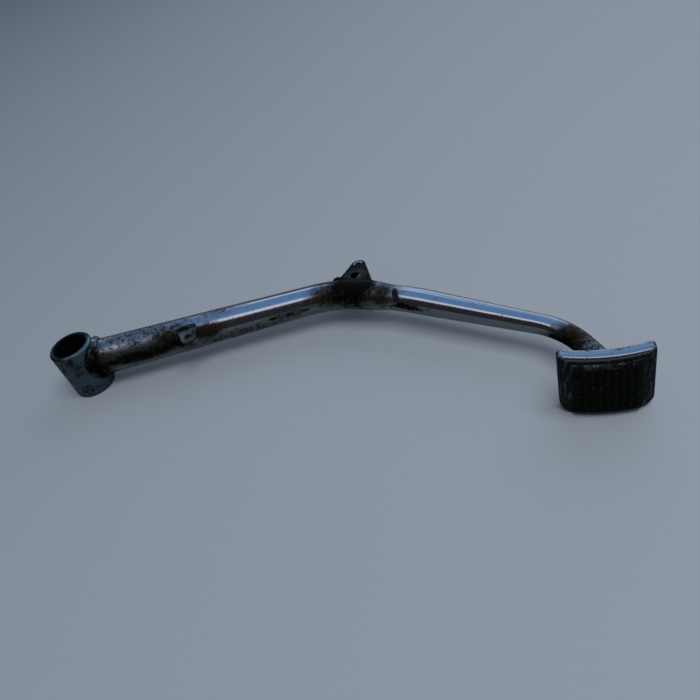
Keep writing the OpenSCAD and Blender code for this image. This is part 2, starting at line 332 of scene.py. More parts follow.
@dataclass(frozen=True)
class Plating(Finish):
    """Old bright plating with pits, rust and soot; some of its marks and patches also paint shade and
    highlights.

    Attributes:
        bright: Colour of clean plating.
        rust: Colour of rust.
        soot: Colour of baked dirt, which also paints shade where a soot patch stands for shade.
        browned: Colour of the plating close to rust.
        smoked: Colour of the plating close to baked dirt.
        gloss: Roughness of clean plating.
        pitting: Share of the plating that is pitted away everywhere.
        haze: How dull and grey the plating is.
        patches: Stained places.
        dulled: How dark dull plating is against clean plating.
        wear_and_glint_mark: Name of a point attribute that is 1 on worn bright edges and on painted
            highlights.
        grime_mark: Name of a point attribute that is 1 under streaky grime.
    """

    bright: Triple = (0.43, 0.45, 0.47)
    rust: Triple = (0.011, 0.0075, 0.0045)
    soot: Triple = (0.015, 0.017, 0.011)
    browned: Triple = (0.065, 0.047, 0.034)
    smoked: Triple = (0.075, 0.085, 0.078)
    gloss: float = 0.11
    pitting: float = 0.30
    haze: float = 0.12
    patches: tuple[Patch, ...] = ()
    dulled: float = 0.42
    wear_and_glint_mark: str = ""
    grime_mark: str = ""

    def surface(self, graph: Graph) -> dict[str, Any]:
        """Lays pits, rust, soot, worn edges and painted highlights over the plating.

        Args:
            graph: Graph that takes the nodes.

        Returns:
            Values, colours or links by socket name.
        """
        place = graph.place()
        coarse = graph.noise(place, 9.0, 4.0, 0.6)
        middle = graph.noise(place, 2.6, 4.0, 0.62, (31.0, 7.0, 3.0))
        fine = graph.noise(place, 0.75, 3.0, 0.6, (5.0, 41.0, 11.0))
        ragged = coarse * 0.45 + middle * 0.55
        masks: dict[Stain, Value] = {}
        for patch in self.patches:
            mask = patch.mask(graph, place, ragged)
            old = masks.get(patch.stain)
            masks[patch.stain] = old.larger(mask) if old else mask

        grain = middle * 0.38 + fine * 0.62
        crowd = coarse.step(0.42, 0.66) * self.pitting
        dull = (fine * 0.5 + coarse * 0.5).step(0.35, 0.7) * self.haze
        if Stain.PITS in masks:
            crowd = crowd.larger(masks[Stain.PITS])
            dull = dull.larger(masks[Stain.PITS] * (0.45 + coarse))
        dull = dull.clamp()
        specks = (grain + crowd * 0.115).step(0.60, 0.67)
        stained = specks * 0.9
        if Stain.RUST in masks:
            rust = masks[Stain.RUST] * 1.5 + (grain - 0.5) * 2.2 - 0.35
            stained = stained.larger(rust.step(0.0, 0.95))
        dirt = specks * 0.6
        covers = []
        if Stain.SOOT_AND_SHADE in masks:
            soot = masks[Stain.SOOT_AND_SHADE] * 1.5 + (ragged - 0.5) * 1.3 - 0.3
            covers.append(soot.step(0.0, 1.0))
        if self.grime_mark:
            x, y, z = graph.parts(place)
            drawn = graph.node("ShaderNodeCombineXYZ", inputs={0: x, 1: y, 2: z * 0.22}).outputs[0]
            streak = graph.noise(drawn, 1.6, 3.0, 0.55, (4.0, 8.0, 2.0))
            covers.append(graph.attribute(self.grime_mark) * (1.05 - streak.step(0.46, 0.74) * 0.42))
        for cover in covers:
            dirt = dirt.larger(cover)
            stained = stained.larger(cover)
        # the stain is taken off on worn edges and where the mark paints a highlight
        if self.wear_and_glint_mark:
            worn = graph.attribute(self.wear_and_glint_mark) * (0.4 + middle)
            stained = stained * (1.0 - worn.step(0.45, 0.9) * 0.9)

        grey = tuple(self.dulled * c for c in self.bright)
        plate = graph.mix(dull, self.bright, grey)
        for kind, tint in ((Stain.RUST, self.browned), (Stain.SOOT_AND_SHADE, self.smoked)):
            if kind in masks:
                plate = graph.mix((masks[kind] * 1.8).clamp(), plate, tint)
        warm = tuple(2.3 * c for c in self.rust)
        brown = graph.mix(fine.step(0.4, 0.65), self.rust, warm)
        height = 0.5 - stained * 0.45 + fine * stained * 0.5 + coarse * 0.35 + fine * 0.04
        rough = self.gloss + dull * 0.40 + middle * 0.04 + stained * (0.62 - self.gloss)
        return {
            "Base Color": graph.mix(stained, plate, graph.mix(dirt, brown, self.soot)),
            "Roughness": rough,
            "Metallic": 1.0 - stained * (1.0 - dirt) * 0.35,
            "Normal": graph.bump(height, 0.4, 0.3),
        }


@dataclass(frozen=True)
class WeldSkin(Finish):
    """Plated weld metal that has gone brown and lumpy.

    Attributes:
        metal: Colour where the plating is left.
        rust: Colour where it is gone.
        left: Share of the plating that is left.
        sheen: Tint of what it mirrors at low angles.
    """

    metal: Triple = (0.17, 0.19, 0.19)
    rust: Triple = (0.011, 0.012, 0.008)
    left: float = 0.3
    sheen: Triple = (1.0, 1.0, 1.0)

    def surface(self, graph: Graph) -> dict[str, Any]:
        """Leaves plating on the high places and rust between them.

        Args:
            graph: Graph that takes the nodes.

        Returns:
            Values, colours or links by socket name.
        """
        place = graph.place()
        coarse = graph.noise(place, 5.0, 4.0, 0.6, (3.0, 9.0, 27.0))
        fine = graph.noise(place, 1.1, 4.0, 0.65, (13.0, 2.0, 6.0))
        bare = 0.60 - 0.2 * self.left
        kept = (coarse * 0.55 + fine * 0.45).step(bare, bare + 0.14)
        rust = graph.mix(fine.step(0.4, 0.65), self.rust, tuple(2.0 * c for c in self.rust))
        return {
            "Base Color": graph.mix(kept, rust, self.metal),
            "Roughness": 0.62 - kept * 0.34 + fine * 0.08,
            "Metallic": 0.8 + kept * 0.2,
            "Specular Tint": (*self.sheen, 1.0),
            "Normal": graph.bump(coarse * 0.5 + fine * 0.35 + kept * 0.1, 0.7, 0.5),
        }


@dataclass(frozen=True)
class BlackenedSteel(Finish):
    """Almost black steel with bright worn edges and a painted highlight.

    Attributes:
        dark: Colour of the baked surface.
        olive: Colour of the greasy film in the hollows.
        bright: Colour of the worn edges and of the painted highlight.
        wear_and_glint_mark: Name of the point attribute that is 1 on the worn edges and on the painted
            highlight.
        ring_mark: Name of the point attribute that is 1 round the hole.
    """

    dark: Triple = (0.007, 0.009, 0.007)
    olive: Triple = (0.050, 0.054, 0.036)
    bright: Triple = (0.34, 0.37, 0.39)
    wear_and_glint_mark: str = "edge"
    ring_mark: str = "ring"

    def surface(self, graph: Graph) -> dict[str, Any]:
        """Puts a film in the hollows, rubs the edges bright and paints the highlight bright.

        Args:
            graph: Graph that takes the nodes.

        Returns:
            Values, colours or links by socket name.
        """
        place = graph.place()
        coarse = graph.noise(place, 4.5, 4.0, 0.6, (17.0, 1.0, 8.0))
        fine = graph.noise(place, 0.8, 4.0, 0.62, (1.0, 23.0, 4.0))
        ring = graph.attribute(self.ring_mark) * (0.5 + coarse)
        film = (coarse.step(0.50, 0.66) * 0.5).larger(ring.clamp())
        # bright on worn edges and where the mark paints a highlight
        edge = graph.attribute(self.wear_and_glint_mark) * (0.35 + coarse * 0.9)
        worn = (edge + fine * 0.12).step(0.5, 0.8)
        return {
            "Base Color": graph.mix(worn, graph.mix(film, self.dark, self.olive), self.bright),
            "Roughness": 0.46 - worn * 0.2 + fine * 0.15,
            "Metallic": 1.0,
            "Normal": graph.bump(coarse * 0.4 + fine * 0.35 - worn * 0.1, 0.6, 0.35),
        }


@dataclass(frozen=True)
class PackedGrime(Finish):
    """Tread teeth packed with black dirt, rubbed bare on some tips.

    Attributes:
        dirt: Colour of the dirt.
        bare: Colour of rubbed metal.
        rust: Colour of the rust that shows at the block's border.
        plate: Colour of the plating that is left there.
        tip_mark: Name of the point attribute that is 1 on a tooth's tip.
        border_mark: Name of the point attribute that is 1 on the block's border.
    """

    dirt: Triple = (0.016, 0.021, 0.013)
    bare: Triple = (0.085, 0.100, 0.078)
    rust: Triple = (0.085, 0.066, 0.048)
    plate: Triple = (0.24, 0.23, 0.22)
    tip_mark: str = "tip"
    border_mark: str = "border"

    def surface(self, graph: Graph) -> dict[str, Any]:
        """Packs the valleys with dirt and bares the tips and the border.

        Args:
            graph: Graph that takes the nodes.

        Returns:
            Values, colours or links by socket name.
        """
        place = graph.place()
        coarse = graph.noise(place, 8.0, 3.0, 0.6, (2.0, 3.0, 19.0))
        fine = graph.noise(place, 0.7, 4.0, 0.65, (7.0, 13.0, 1.0))
        tips = graph.attribute(self.tip_mark) * (coarse * 0.9 + fine * 0.35)
        rubbed = tips.step(0.52, 0.80)
        border = graph.attribute(self.border_mark)
        plated = (border * (0.20 + coarse * 0.45 + fine * 0.5)).step(0.64, 0.78)
        soil = graph.mix(fine.step(0.5, 0.7), self.dirt, tuple(2.2 * c for c in self.dirt))
        soil = graph.mix(border * coarse.step(0.4, 0.6), soil, self.rust)
        return {
            "Base Color": graph.mix(plated, graph.mix(rubbed * 0.8, soil, self.bare), self.plate),
            "Roughness": 0.66 - rubbed * 0.2 - plated * 0.42 + fine * 0.1,
            "Metallic": 1.0,
            "Normal": graph.bump(fine * 0.6 + coarse * 0.3, 0.6, 0.3),
        }


@dataclass(frozen=True)
class TableTop(Finish):
    """Smooth pale table.

    Attributes:
        pale: Colour of the table.
        shaded_reflection: Its darker colour where the plating mirrors it, painted shade in the
            reflections.
    """

    pale: Triple = (0.250, 0.292, 0.345)
    shaded_reflection: Triple = (0.100, 0.125, 0.140)

    def surface(self, graph: Graph) -> dict[str, Any]:
        """Shows one colour to the camera and a darker one, painted shade, to the plating.

        Args:
            graph: Graph that takes the nodes.

        Returns:
            Values, colours or links by socket name.
        """
        # painted shade: the table is darker where the plating reflects it
        glossy = graph.node("ShaderNodeLightPath").outputs["Is Glossy Ray"]
        return {
            "Base Color": graph.mix(Value(graph, glossy), self.pale, self.shaded_reflection),
            "Roughness": 0.75,
            "Specular IOR Level": 0.25,
        }


# Surfaces


def stand(name: str, data: bpy.types.ID) -> bpy.types.Object:
    """Makes an object and puts it in the scene."""
    made = bpy.data.objects.new(name, data)
    bpy.context.scene.collection.objects.link(made)
    return made


def full_turn(count: int) -> Array:
    """Angles in radians, spread evenly round a circle."""
    return np.linspace(0.0, 2.0 * math.pi, count, endpoint=False)


def points(*axes: Array) -> Array:
    """Puts grids of coordinates together as a grid of points."""
    return np.stack(axes, axis=-1)


@dataclass
class Skin:
    """A closed surface on a grid of points.

    Attributes:
        points: Grid of points, shaped (along, around, 3), in millimetres.
        loop: True if the first and last ring are joined to each other;
            otherwise a fan closes each end.
        marks: Numbers for the grid's points, by attribute name.
    """

    points: Array
    loop: bool
    marks: dict[str, Array] = field(default_factory=dict)

    def piece(self, name: str, finish: Material) -> bpy.types.Object:
        """Makes the mesh object.

        Quads join each ring to the next one, and the last point of a ring to
        its first. Where the rings don't loop, triangles join each end ring to
        the mean of its points.

        Args:
            name: Name of the piece.
            finish: Its material.

        Returns:
            The new object, with its place in its mesh.
        """
        along, around = self.points.shape[:2]
        rows = np.arange(along if self.loop else along - 1)[:, None]
        columns = np.arange(around)[None, :]
        a = rows * around + columns
        b = rows * around + (columns + 1) % around
        c = ((rows + 1) % along) * around + (columns + 1) % around
        d = ((rows + 1) % along) * around + columns
        faces = points(a, b, c, d).reshape(-1, 4).tolist()
        corners = self.points.reshape(-1, 3)
        extra = 0
        if not self.loop:
            ends = np.stack([self.points[0].mean(axis=0), self.points[-1].mean(axis=0)])
            corners = np.concatenate([corners, ends])
            extra = 2
            ring = np.arange(around)
            following = (ring + 1) % around
            first = np.full(around, along * around)
            last = (along - 1) * around
            faces += points(first, following, ring).tolist()
            faces += points(first + 1, last + ring, last + following).tolist()
        mesh = bpy.data.meshes.new(name)
        mesh.from_pydata((corners * MM).tolist(), [], faces)
        for key, values in self.marks.items():
            flat = np.concatenate([values.reshape(-1), np.zeros(extra)]).astype(np.float32)
            mesh.attributes.new(key, "FLOAT", "POINT").data.foreach_set("value", flat)
        work = bmesh.new()
        work.from_mesh(mesh)
        bmesh.ops.recalc_face_normals(work, faces=work.faces)
        work.to_mesh(mesh)
        work.free()
        mesh.shade_smooth()
        mesh.set_sharp_from_angle(angle=math.radians(SHARP))
        mesh.materials.append(finish)
        return stand(name, mesh)


def ray(degrees: float, length: float = 1.0) -> Array:
    """A vector in the plane at an angle from +X.

    Args:
        degrees: Angle in degrees.
        length: Length of the vector.

    Returns:
        The two numbers of the vector.
    """
    angle = math.radians(degrees)
    return np.array([math.cos(angle), math.sin(angle)]) * length


def waves(u: Array, v: Array, seed: int, count: int = 7, fastest: int = 9) -> Array:
    """Lumpiness that repeats once around both parameters.

    It is the mean of sine waves, each with whole numbers of turns along both
    parameters and a seeded phase.

    Args:
        u: First parameter, 0 to 1.
        v: Second parameter, 0 to 1.
        seed: Seed of the turns and phases.
        count: Number of sine waves.
        fastest: Most turns along a parameter.

    Returns:
        The lumpiness, about -1 to 1.
    """
    draw = np.random.default_rng(seed)
    turns = draw.integers(1, fastest, (count, 2))
    phases = draw.uniform(0.0, 2.0 * math.pi, count)
    phase = 2.0 * math.pi * (turns[:, 0] * u[..., None] + turns[:, 1] * v[..., None]) + phases
    return np.sin(phase).mean(axis=-1) * 1.6


def rounded_loop(corners: Sequence[Sequence[float]], radii: Sequence[float], steps: int) -> Array:
    """A closed outline whose corners are rounded.

    At each corner the outline follows the quadratic curve that leaves one
    side and joins the next at the corner's radius from it.

    Args:
        corners: Corners in order.
        radii: Rounding at each corner.
        steps: Points on each rounded corner.

    Returns:
        The outline's points.
    """
    corner = np.asarray(corners, float)
    size = np.asarray(radii, float)[:, None]
    ends = []
    for step in (1, -1):
        side = np.roll(corner, step, axis=0) - corner
        side /= np.linalg.norm(side, axis=1, keepdims=True)
        ends.append((corner + side * size)[:, None, :])
    t = np.linspace(0.0, 1.0, steps)[None, :, None]
    bend = corner[:, None, :]
    return ((1 - t) ** 2 * ends[0] + 2 * t * (1 - t) * bend + t**2 * ends[1]).reshape(-1, 2)


def resample(loop: Array, count: int) -> Array:
    """Spreads points evenly by length along a closed outline.

    Args:
        loop: Outline's points.
        count: Number of points wanted.

    Returns:
        The new outline.
    """
    closed = np.concatenate([loop, loop[:1]])
    steps = np.linalg.norm(np.diff(closed, axis=0), axis=1)
    length = np.concatenate([[0.0], np.cumsum(steps)])
    wanted = np.linspace(0.0, length[-1], count, endpoint=False)
    return points(*(np.interp(wanted, length, column) for column in closed.T))


def turned(profile: Array, centre: Triple, segments: int) -> Array:
    """Carries a profile of radius and height round an upright axis.

    Args:
        profile: Closed outline of (radius, height).
        centre: Point on the axis that heights are measured from.
        segments: Number of places round the axis.

    Returns:
        The grid of points.
    """
    angle = full_turn(segments)[:, None]
    radius, height = profile.T[:, None, :]
    x = centre[0] + radius * np.cos(angle)
    y = centre[1] + radius * np.sin(angle)
    return points(x, y, centre[2] + height + 0.0 * angle)


@dataclass
class Bead:
    """A roll of weld along a path.

    Attributes:
        path: Points along the path.
        radius: Radius of the roll.
        closed: True if the path closes on itself.
        upright: Direction that the path never runs along.
        swell: How much the roll swells and shrinks, as a share of its radius.
        ripple: Depth of the ripples of the weld pool.
        pitch: Distance between ripples.
        seed: Seed of the lumps.
    """

    path: Array
    radius: float
    closed: bool
    upright: Triple = (0.0, 0.0, 1.0)
    swell: float = 0.14
    ripple: float = 0.14
    pitch: float = 1.7
    seed: int = 1

    def skin(self, around: int = 28) -> Skin:
        """Works out the roll's surface.

        A circle is carried along the path. Its radius is the roll's radius
        times one plus the lumps, plus the ripples, which bow forward in the
        middle of the roll, and it fades at the ends of an open path.

        Args:
            around: Points on the circle.

        Returns:
            The surface.
        """
        path = self.path
        if self.closed:
            ahead = np.roll(path, -1, axis=0) - np.roll(path, 1, axis=0)
        else:
            ahead = np.gradient(path, axis=0)
        ahead /= np.linalg.norm(ahead, axis=1, keepdims=True)
        out = np.cross(ahead, np.array(self.upright))
        out /= np.linalg.norm(out, axis=1, keepdims=True)
        rise = np.cross(out, ahead)
        count = len(path)
        u = np.linspace(0.0, 1.0, count, endpoint=not self.closed)[:, None]
        v = np.linspace(0.0, 1.0, around, endpoint=False)[None, :]
        length = np.linalg.norm(np.diff(path, axis=0), axis=1).sum()
        turns = max(3, round(length / self.pitch))
        lumps = waves(u, v, self.seed, count=9, fastest=6)
        bow = 0.18 * np.cos(2.0 * math.pi * v)
        pool = np.abs(np.sin(math.pi * turns * (u + bow / turns * 2.0)))
        radius = self.radius * (1.0 + self.swell * lumps) + self.ripple * (pool - 0.6)
        if not self.closed:
            radius = radius * np.sqrt(np.clip(1.0 - (2.0 * u - 1.0) ** 6, 0.02, 1.0))
        angle = 2.0 * math.pi * v
        sideways = (radius * np.cos(angle))[..., None] * out[:, None, :]
        upwards = (radius * np.sin(angle))[..., None] * rise[:, None, :]
        return Skin(path[:, None, :] + sideways + upwards, self.closed)


@dataclass
class Plate:
    """A flat plate with one hole, seen from above.

    Attributes:
        outline: Outline in the plane, which every ray from the hole meets once.
        hole: Centre of the hole.
        hole_r: Radius of the hole.
        middle: Height of the plate's middle.
        thick: Thickness.
        edge: Rounding of the outer edge.
        collar: Height of a raised ring round the hole.
        lip: Rounding of the hole's edges.
    """

    outline: Array
    hole: Pair
    hole_r: float
    middle: float
    thick: float
    edge: float = 0.6
    collar: float = 0.0
    lip: float = 0.3

    def skin(self, around: int = 220) -> Skin:
        """Works out the plate's surface.

        For each direction from the hole a section is drawn from the hole's
        wall, out over the top, round the edge, and back underneath. A collar
        swells the plate in a ring close to the hole.

        Args:
            around: Directions from the hole.

        Returns:
            The surface, marked close to the outer edge and close to the hole.
        """
        centre = np.array(self.hole)
        away = self.outline - centre
        angle = np.unwrap(np.arctan2(away[:, 1], away[:, 0]))
        if angle[-1] < angle[0]:
            angle, away = angle[::-1], away[::-1]
        dist = np.hypot(away[:, 0], away[:, 1])
        theta = full_turn(around)
        lined = np.concatenate([angle - 2 * math.pi, angle, angle + 2 * math.pi])
        far = np.interp(theta, lined, np.tile(dist, 3))
        half = self.thick / 2.0
        turn = np.linspace(0.0, math.pi / 2, 6)
        over = np.linspace(0.0, 1.0, 26)[1:-1] ** 1.4
        out_x = -self.edge + self.edge * np.sin(turn)
        out_z = half - self.edge + self.edge * np.cos(turn)
        in_x = self.lip - self.lip * np.cos(turn)
        in_z = half - self.lip + self.lip * np.sin(turn)
        near = self.hole_r + in_x[None, :] + 0.0 * theta[:, None]
        end = far[:, None] + out_x[None, :]
        span = near[:, -1:] + (end[:, :1] - near[:, -1:]) * over[None, :]
        upper = np.concatenate([near, span, end], axis=1)
        radius = np.concatenate([upper, upper[:, ::-1]], axis=1)
        top = np.concatenate([in_z, np.full(len(over), half), out_z])
        height = np.concatenate([top, -top[::-1]])
        x = centre[0] + radius * np.cos(theta)[:, None]
        y = centre[1] + radius * np.sin(theta)[:, None]
        ring = np.exp(-(((radius - self.hole_r - 1.1) / 0.85) ** 2))
        swell = (1.0 + 0.25 * np.sin(5.0 * theta + 1.0) + 0.2 * np.sin(9.0 * theta))[:, None]
        z = self.middle + height + self.collar * ring * swell * np.sign(height)
        edge = np.clip(1.0 - (far[:, None] - radius) / 1.3, 0.0, 1.0)
        return Skin(points(x, y, z), True, {"edge": edge, "ring": ring})


# Sub-assemblies


def dress(piece: bpy.types.Object, slot: str, *nodes: str) -> None:
    """Puts a piece on the pedal's one body.

    Args:
        piece: The piece.
        slot: Name of a material slot; not used.
        nodes: Solids that it stands for.
    """
    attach(piece, "root")
    if nodes:
        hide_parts(*nodes)
    LOG.info("%s: %d faces, stands for %s", piece.name, len(piece.data.polygons), nodes or "detail")


@dataclass
class PivotSleeve:
    """The short thick tube that turns on the pivot shaft.

    Attributes:
        outer_r: Outside radius.
        bore_r: Radius of the bore.
        length: Length along the bore.
        chamfer: Chamfer of the outer edges.
        mouth: Chamfer of the bore's mouths.
        dent: How deep the outside's dents are.
        segments: Places round the axis.
    """

    outer_r: float = 14.0
    bore_r: float = 10.5
    length: float = 36.0
    chamfer: float = 1.2
    mouth: float = 1.4
    dent: float = 0.06
    segments: int = 224

    def profile(self) -> Array:
        """Works out the section of the sleeve's wall.

        Returns:
            Points of (radius, height), with the chamfers softened by wear.
        """
        half = self.length / 2.0
        lower = [
            (self.bore_r, -half + self.mouth),
            (self.bore_r + self.mouth, -half),
            (self.outer_r - self.chamfer, -half),
            (self.outer_r, -half + self.chamfer),
        ]
        upper = [(radius, -height) for radius, height in reversed(lower)]
        radii = [0.6, 0.4, 0.42, 0.8]
        return rounded_loop([upper[-1], *lower, *upper[:-1]], [radii[0], *radii, *radii[:0:-1]], 6)

    def build(self, finish: Material) -> None:
        """Makes the sleeve.

        Shallow dents make its outside uneven. On the side of +X and -Y the outer chamfer is left clean
        and bright as a painted highlight, and the rest of the chamfer is darkened; the flat ends are
        marked as under grime, and the bore is darkened most.

        Args:
            finish: Its material.
        """
        profile = self.profile()
        radius, height = profile.T
        grid = turned(profile, (0.0, 0.0, 0.0), self.segments)
        share = np.linspace(0, 1, self.segments, endpoint=False)[:, None]
        dents = waves(share, height[None, :] / self.length + 0.5, seed=5, count=6, fastest=6)
        outside = (radius > self.outer_r - 0.2)[None, :]
        reach = np.hypot(grid[..., 0], grid[..., 1])
        scale = 1.0 + np.where(outside, self.dent * dents, 0.0) / reach
        grid[..., :2] *= scale[..., None]
        level = np.abs(height) - self.length / 2.0
        ridge = self.outer_r - self.chamfer - 0.1
        bevel = (level > -self.chamfer - 0.1) & (radius > ridge)
        inside = (radius < ridge) & (level < 0.2)
        flat = inside & (level > -0.5) & (radius > self.bore_r + 0.3)
        # darkest in the bore, less on the flat ends
        darkened = 1.5 * inside - 0.7 * flat
        # painted highlight: the chamfer is bright only on the side facing +X and -Y, and darkened on
        # the rest
        lit_side = (0.75 * grid[..., 0] - 0.66 * grid[..., 1]) / self.outer_r
        lit_side = np.clip((lit_side - 0.3) * 3.0, 0.0, 1.0)
        marks = {"edge": bevel * lit_side, "face": np.maximum(darkened, bevel * (1.0 - lit_side))}
        dress(Skin(grid, True, marks).piece("sleeve_shell", finish), "worn_chrome", "pivot_sleeve")


@dataclass
class Lever:
    """The bent tube that tapers from the sleeve to the pad.

    Attributes:
        height: Height of its centreline.
        root_r: Radius that the taper reaches over the bore.
        bend_r: Radius at the middle bend.
        limb_r: Radius at the gentle bend.
        tip_r: Radius at the pad.
        limbs: Distances between the corners of the centreline.
        turns: Turns at the corners, in degrees, clockwise.
        sweeps: Radii of the bends.
        pad_back_r: Radius of the pad's arc that the tube ends in.
        pad_axis: Axis of that arc.
        wall_r: Radius inside the sleeve's wall where the tube starts.
        weld_r: Distance of the root weld's middle from the bore's axis.
    """

    height: float = 2.2
    root_r: float = 12.25
    bend_r: float = 9.4
    limb_r: float = 7.9
    tip_r: float = 5.7
    limbs: Triple = (180.5, 47.0, 96.2)
    turns: Triple = (31.7, 6.3, 35.6)
    sweeps: Triple = (75.0, 200.0, 46.0)
    pad_back_r: float = 74.4
    pad_axis: Pair = (0.0, 0.0)
    wall_r: float = 12.8
    weld_r: float = 15.4

    def headings(self) -> Array:
        """Headings of the four straights, in degrees."""
        return -np.concatenate([[0.0], np.cumsum(self.turns)])

    def corners(self) -> Array:
        """Corners of the centreline, the bore's axis first."""
        heads = self.headings()
        steps = [ray(heads[k], self.limbs[k]) for k in range(3)]
        return np.concatenate([[[0.0, 0.0]], np.cumsum(steps, axis=0)])

    def route(self) -> tuple[Array, Array, Array]:
        """Works out the centreline up to the start of the last straight.

        Straights join tangent arcs. Along a straight the radius changes
        evenly between the radii of the bends at its ends.

        Returns:
            Points, headings in radians, and radii.
        """
        heads = self.headings()
        corners = self.corners()
        radii = (self.root_r, self.bend_r, self.limb_r, self.tip_r)
        places, angles, sizes = [], [], []
        start = corners[0]
        for k in range(3):
            tangent = self.sweeps[k] * math.tan(math.radians(self.turns[k] / 2.0))
            enter = corners[k + 1] - ray(heads[k], tangent)
            span = np.linalg.norm(enter - start)
            t = np.linspace(0.0, 1.0, max(4, int(span / 1.6)), endpoint=False)[:, None]
            places.append(start + (enter - start) * t)
            angles.append(np.full(len(t), math.radians(heads[k])))
            sizes.append(radii[k] + (radii[k + 1] - radii[k]) * t[:, 0])
            count = max(10, int(self.turns[k] * 0.9))
            turn = np.linspace(0.0, math.radians(self.turns[k]), count, endpoint=False)
            middle = enter + ray(heads[k] - 90.0, self.sweeps[k])
            face = math.radians(heads[k] + 90.0) - turn
            places.append(middle + self.sweeps[k] * points(np.cos(face), np.sin(face)))
            angles.append(math.radians(heads[k]) - turn)
            sizes.append(np.full(count, radii[k + 1]))
            start = corners[k + 1] + ray(heads[k + 1], tangent)
        places.append(start[None, :])
        angles.append(np.array([math.radians(heads[3])]))
        sizes.append(np.array([self.tip_r]))
        return np.concatenate(places), np.concatenate(angles), np.concatenate(sizes)

    def skin(self, around: int = 112) -> Skin:
        """Works out the tube's outside.

        A circle is carried along the centreline. On the first straight the
        rings are drawn back to the sleeve's wall, so that the tube starts on
        a saddle line, and the last straight runs on to the pad's arc. The
        first ring shrinks to a point along the curve of the sleeve's wall.

        Args:
            around: Points on the circle.

        Returns:
            The surface.
        """
        place, angle, radius = self.route()
        phi = full_turn(around)[None, :]
        side = radius[:, None] * np.cos(phi)
        rise = radius[:, None] * np.sin(phi)
        x = place[:, :1] - np.sin(angle)[:, None] * side
        y = place[:, 1:] + np.cos(angle)[:, None] * side
        first = place[:, 1] == 0.0
        reach = place[first, 0].max()
        saddle = np.sqrt(self.wall_r**2 - side[first] ** 2)
        x[first] = saddle + (reach - saddle) * (place[first, :1] / reach)
        head = ray(self.headings()[3])
        normal = np.array([-head[1], head[0]])
        edge = place[-1] + normal * side[-1][:, None]
        run = self.run_to_arc(edge, self.pad_back_r)
        t = np.linspace(0.0, 1.0, 22)[1:, None]
        x = np.concatenate([x, edge[:, 0] + head[0] * run * t])
        y = np.concatenate([y, edge[:, 1] + head[1] * run * t])
        z = self.height + np.concatenate([rise, np.repeat(rise[-1:], len(t), axis=0)])
        grid = points(x, y, z)
        s = np.linspace(0.05, 1.0, 6, endpoint=False)[:, None]
        y = grid[0, :, 1] * s
        z = self.height + (grid[0, :, 2] - self.height) * s
        lead = points(np.sqrt(self.wall_r**2 - y**2), y, z)
        return Skin(np.concatenate([lead, grid]), False)

    def run_to_arc(self, start: Array, radius: float) -> Array:
        """Distances along the last straight to an arc about the pad's axis.

        Args:
            start: Points that the distances start from.
            radius: Radius of the arc.

        Returns:
            The distances.
        """
        gap = start - np.array(self.pad_axis)
        ahead = gap @ ray(self.headings()[3])
        return -ahead + np.sqrt(ahead**2 + radius**2 - (gap**2).sum(axis=-1))

    def pad_meet(self) -> Array:
        """Point where the centreline meets the back of the pad's face."""
        end = self.route()[0][-1]
        return end + ray(self.headings()[3]) * self.run_to_arc(end, self.pad_back_r - 1.0)

    def build(self, finish: Material, weld: Material) -> None:
        """Makes the tube and the weld at its root.

        Args:
            finish: Material of the tube.
            weld: Material of the weld.
        """
        dress(self.skin().piece("lever_tube", finish), "worn_chrome", "arm_tube")
        angle = full_turn(220)
        ring = self.root_r - 0.9
        y = ring * np.sin(angle)
        path = points(np.sqrt(self.weld_r**2 - y**2), y, self.height + ring * np.cos(angle))
        bead = Bead(path, 2.9, True, (1.0, 0.0, 0.0), swell=0.22, ripple=0.02, pitch=2.6, seed=3)
        dress(bead.skin(36).piece("sleeve_bead", weld), "weld_bead", "sleeve_weld")


@dataclass
class SpringTab:
    """The small eye for the return spring.

    Attributes:
        hole: Centre of the hole in the plane.
        hole_r: Radius of the hole.
        end_r: Radius of the round end.
        middle: Height of the plate's middle.
        thick: Thickness.
        root: Spread of the root to each side of the hole.
        reach: How far the root runs from the hole into the lever.
        arm_height: Height of the lever's centreline.
        arm_r: Radius of the lever at the tab.
    """

    hole: Pair = (81.0, -15.9)
    hole_r: float = 2.2
    end_r: float = 5.1
    middle: float = 10.6
    thick: float = 2.2
    root: Pair = (12.0, 4.5)
    reach: float = 12.6
    arm_height: float = 2.2
    arm_r: float = 10.8

    def outline(self) -> Array:
        """Works out the outline: a half circle and two flanks.

        Returns:
            The outline's points, the root ends inside the lever.
        """
        x, y = self.hole
        sweep = np.radians(np.linspace(-152.0, 0.0, 40))
        cap = points(x + self.end_r * np.cos(sweep), y + self.end_r * np.sin(sweep))
        t = np.linspace(0.0, 1.0, 24)[:, None]
        inner = y + self.reach
        back = np.array([x - self.root[0] * 0.89, inner])
        flank = back + (cap[0] - back) * t
        flank[:, 0] += 0.9 * np.sin(math.pi * t[:, 0])
        return resample(np.concatenate([cap, [[x + self.root[1], inner]], flank]), 360)

    def build(self, finish: Material, weld: Material) -> None:
        """Makes the tab and its weld.

        Args:
            finish: Material of the tab.
            weld: Material of the weld.
        """
        plate = Plate(self.outline(), self.hole, self.hole_r, self.middle, self.thick, edge=0.7)
        dress(plate.skin().piece("spring_tab_plate", finish), "worn_chrome", "spring_tab")
        t = np.linspace(0.0, 1.0, 60)
        top = self.middle - self.arm_height + self.thick / 2.0
        y = -math.sqrt((self.arm_r + 0.45) ** 2 - top**2)
        behind = self.root[0] * 0.62
        x = self.hole[0] - behind + (behind + self.root[1]) * t
        dip = (2.0 * t - 1.0) ** 2
        path = points(x, y + 0.5 * dip, self.arm_height + top - 0.1 - 0.4 * dip)
        bead = Bead(path, 1.5, False, swell=0.12, ripple=0.04, pitch=1.5, seed=8)
        dress(bead.skin(20).piece("tab_bead", weld), "weld_bead", "tab_weld")


